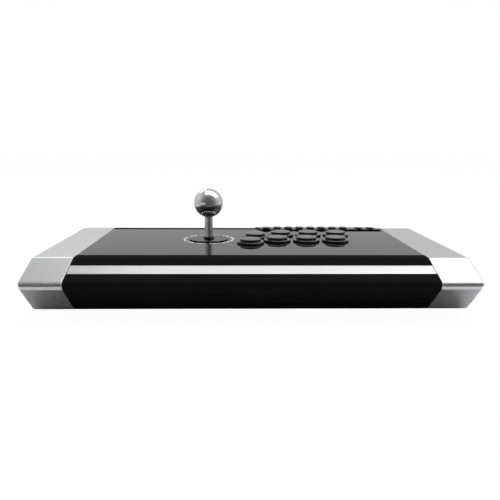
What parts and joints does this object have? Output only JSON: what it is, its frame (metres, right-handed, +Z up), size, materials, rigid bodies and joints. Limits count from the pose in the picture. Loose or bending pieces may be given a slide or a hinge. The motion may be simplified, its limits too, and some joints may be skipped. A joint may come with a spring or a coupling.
{
  "type": "arcade joystick panel",
  "caption": "Wide hexagonal arcade control panel with a ball-top lever, round play buttons, a slanted option plate, a front light strip and a rear cable hatch.",
  "frame": {"origin": "on the surface the feet stand on, under the middle of the case", "axes": "+Z up, +X to the player's right along the case, the player sits on the -Y side"},
  "size_m": [0.46, 0.2772, 0.1195],
  "materials": {
    "silver": "satin anodised, with bright bevelled edges",
    "gloss_black": "mirror gloss acrylic",
    "black_plastic": "semi-gloss moulded plastic",
    "button_black": "polished moulded plastic",
    "light_strip": "frosted white light guide",
    "steel": "plain sheet steel",
    "chrome": "polished",
    "rubber": "matte",
    "circuit_board": "solder mask",
    "nylon": "moulded nylon"
  },
  "bodies": {
    "root": {"left_side_panel": "silver", "right_side_panel": "silver", "panel_cover": "gloss_black", "option_plate": "gloss_black", "front_bezel": "black_plastic", "rear_bezel": "black_plastic", "light_strip": "light_strip", "top_plate": "steel", "base_plate": "steel", "left_chassis_wall": "steel", "right_chassis_wall": "steel", "lever_bracket": "steel", "front_left_foot": "rubber", "front_right_foot": "rubber", "rear_left_foot": "rubber", "rear_right_foot": "rubber", "cable_gland": "rubber", "lever_harness": "rubber", "option_board": "circuit_board", "lever_board": "circuit_board", "main_board": "circuit_board", "cable_bay": "nylon", "lever_housing": "nylon", "restrictor_gate": "nylon", "button_1_rim": "button_black", "button_2_rim": "button_black", "button_3_rim": "button_black", "button_4_rim": "button_black", "button_5_rim": "button_black", "button_6_rim": "button_black", "button_7_rim": "button_black", "button_8_rim": "button_black"},
    "lever_cradle": {"pivot_liner": "nylon"},
    "lever": {"lever_shaft": "chrome", "ball_knob": "chrome", "pivot_ball": "nylon", "actuator": "nylon", "shaft_clip": "steel", "return_spring": "steel"},
    "lower_disc": {"lower_dust_disc": "nylon"},
    "washer": {"dust_washer": "black_plastic"},
    "hatch": {"cable_hatch": "black_plastic"},
    "button_1": {"button_1_plunger": "button_black"},
    "button_2": {"button_2_plunger": "button_black"},
    "button_3": {"button_3_plunger": "button_black"},
    "button_4": {"button_4_plunger": "button_black"},
    "button_5": {"button_5_plunger": "button_black"},
    "button_6": {"button_6_plunger": "button_black"},
    "button_7": {"button_7_plunger": "button_black"},
    "button_8": {"button_8_plunger": "button_black"},
    "home": {"home_button": "button_black"},
    "option_1": {"option_button_1": "button_black"},
    "option_2": {"option_button_2": "button_black"},
    "option_3": {"option_button_3": "button_black"},
    "option_4": {"option_button_4": "button_black"},
    "option_5": {"option_button_5": "button_black"},
    "option_6": {"option_button_6": "button_black"},
    "option_7": {"option_button_7": "button_black"},
    "slide_1": {"slide_switch_1": "button_black"},
    "slide_2": {"slide_switch_2": "button_black"}
  },
  "joints": [
    {"name": "lever_fore_aft", "type": "hinge", "parent": "root", "child": "lever_cradle", "pos_m": [-0.0513, 0.0096, 0.0348], "axis": [1, 0, 0], "range_deg": [-8.5, 8.5], "stiffness_Nm_per_rad": 0.8},
    {"name": "lever_left_right", "type": "hinge", "parent": "lever_cradle", "child": "lever", "pos_m": [-0.0513, 0.0096, 0.0348], "axis": [0, 1, 0], "range_deg": [-8.5, 8.5], "stiffness_Nm_per_rad": 0.8},
    {"name": "lower_disc_follow", "type": "slide", "parent": "root", "child": "lower_disc", "axis": [0, 1, 0], "range_m": [-0.0036, 0.0036]},
    {"name": "washer_follow", "type": "slide", "parent": "lower_disc", "child": "washer", "axis": [1, 0, 0], "range_m": [-0.0036, 0.0036]},
    {"name": "button_1_press", "type": "slide", "parent": "root", "child": "button_1", "axis": [0, 0, -1], "range_m": [0, 0.0026], "stiffness_N_per_m": 400, "springref_m": -0.001},
    {"name": "button_2_press", "type": "slide", "parent": "root", "child": "button_2", "axis": [0, 0, -1], "range_m": [0, 0.0026], "stiffness_N_per_m": 400, "springref_m": -0.001},
    {"name": "button_3_press", "type": "slide", "parent": "root", "child": "button_3", "axis": [0, 0, -1], "range_m": [0, 0.0026], "stiffness_N_per_m": 400, "springref_m": -0.001},
    {"name": "button_4_press", "type": "slide", "parent": "root", "child": "button_4", "axis": [0, 0, -1], "range_m": [0, 0.0026], "stiffness_N_per_m": 400, "springref_m": -0.001},
    {"name": "button_5_press", "type": "slide", "parent": "root", "child": "button_5", "axis": [0, 0, -1], "range_m": [0, 0.0026], "stiffness_N_per_m": 400, "springref_m": -0.001},
    {"name": "button_6_press", "type": "slide", "parent": "root", "child": "button_6", "axis": [0, 0, -1], "range_m": [0, 0.0026], "stiffness_N_per_m": 400, "springref_m": -0.001},
    {"name": "button_7_press", "type": "slide", "parent": "root", "child": "button_7", "axis": [0, 0, -1], "range_m": [0, 0.0026], "stiffness_N_per_m": 400, "springref_m": -0.001},
    {"name": "button_8_press", "type": "slide", "parent": "root", "child": "button_8", "axis": [0, 0, -1], "range_m": [0, 0.0026], "stiffness_N_per_m": 400, "springref_m": -0.001},
    {"name": "home_press", "type": "slide", "parent": "root", "child": "home", "axis": [0, 0, -1], "range_m": [0, 0.0008], "stiffness_N_per_m": 600, "springref_m": -0.0006},
    {"name": "option_1_press", "type": "slide", "parent": "root", "child": "option_1", "axis": [0, 0, -1], "range_m": [0, 0.0008], "stiffness_N_per_m": 600, "springref_m": -0.0006},
    {"name": "option_2_press", "type": "slide", "parent": "root", "child": "option_2", "axis": [0, 0, -1], "range_m": [0, 0.0008], "stiffness_N_per_m": 600, "springref_m": -0.0006},
    {"name": "option_3_press", "type": "slide", "parent": "root", "child": "option_3", "axis": [0, 0, -1], "range_m": [0, 0.0008], "stiffness_N_per_m": 600, "springref_m": -0.0006},
    {"name": "option_4_press", "type": "slide", "parent": "root", "child": "option_4", "axis": [0, 0, -1], "range_m": [0, 0.0008], "stiffness_N_per_m": 600, "springref_m": -0.0006},
    {"name": "option_5_press", "type": "slide", "parent": "root", "child": "option_5", "axis": [0, 0, -1], "range_m": [0, 0.0008], "stiffness_N_per_m": 600, "springref_m": -0.0006},
    {"name": "option_6_press", "type": "slide", "parent": "root", "child": "option_6", "axis": [0, 0, -1], "range_m": [0, 0.0008], "stiffness_N_per_m": 600, "springref_m": -0.0006},
    {"name": "option_7_press", "type": "slide", "parent": "root", "child": "option_7", "axis": [0, 0, -1], "range_m": [0, 0.0008], "stiffness_N_per_m": 600, "springref_m": -0.0006},
    {"name": "slide_1_move", "type": "slide", "parent": "root", "child": "slide_1", "axis": [-0.4298, 0.9029, 0], "range_m": [-0.0032, 0.0032]},
    {"name": "slide_2_move", "type": "slide", "parent": "root", "child": "slide_2", "axis": [-0.4298, 0.9029, 0], "range_m": [-0.0032, 0.0032]},
    {"name": "hatch_hinge", "type": "hinge", "parent": "root", "child": "hatch", "pos_m": [-0.085, 0.10299, 0.05239], "axis": [1, 0, 0], "range_deg": [0, 100]}
  ],
  "couplings": [
    {"joint": "lower_disc_follow", "follows": "lever_fore_aft", "m_per_rad": -0.023976},
    {"joint": "washer_follow", "follows": "lever_left_right", "m_per_rad": 0.023976}
  ]
}
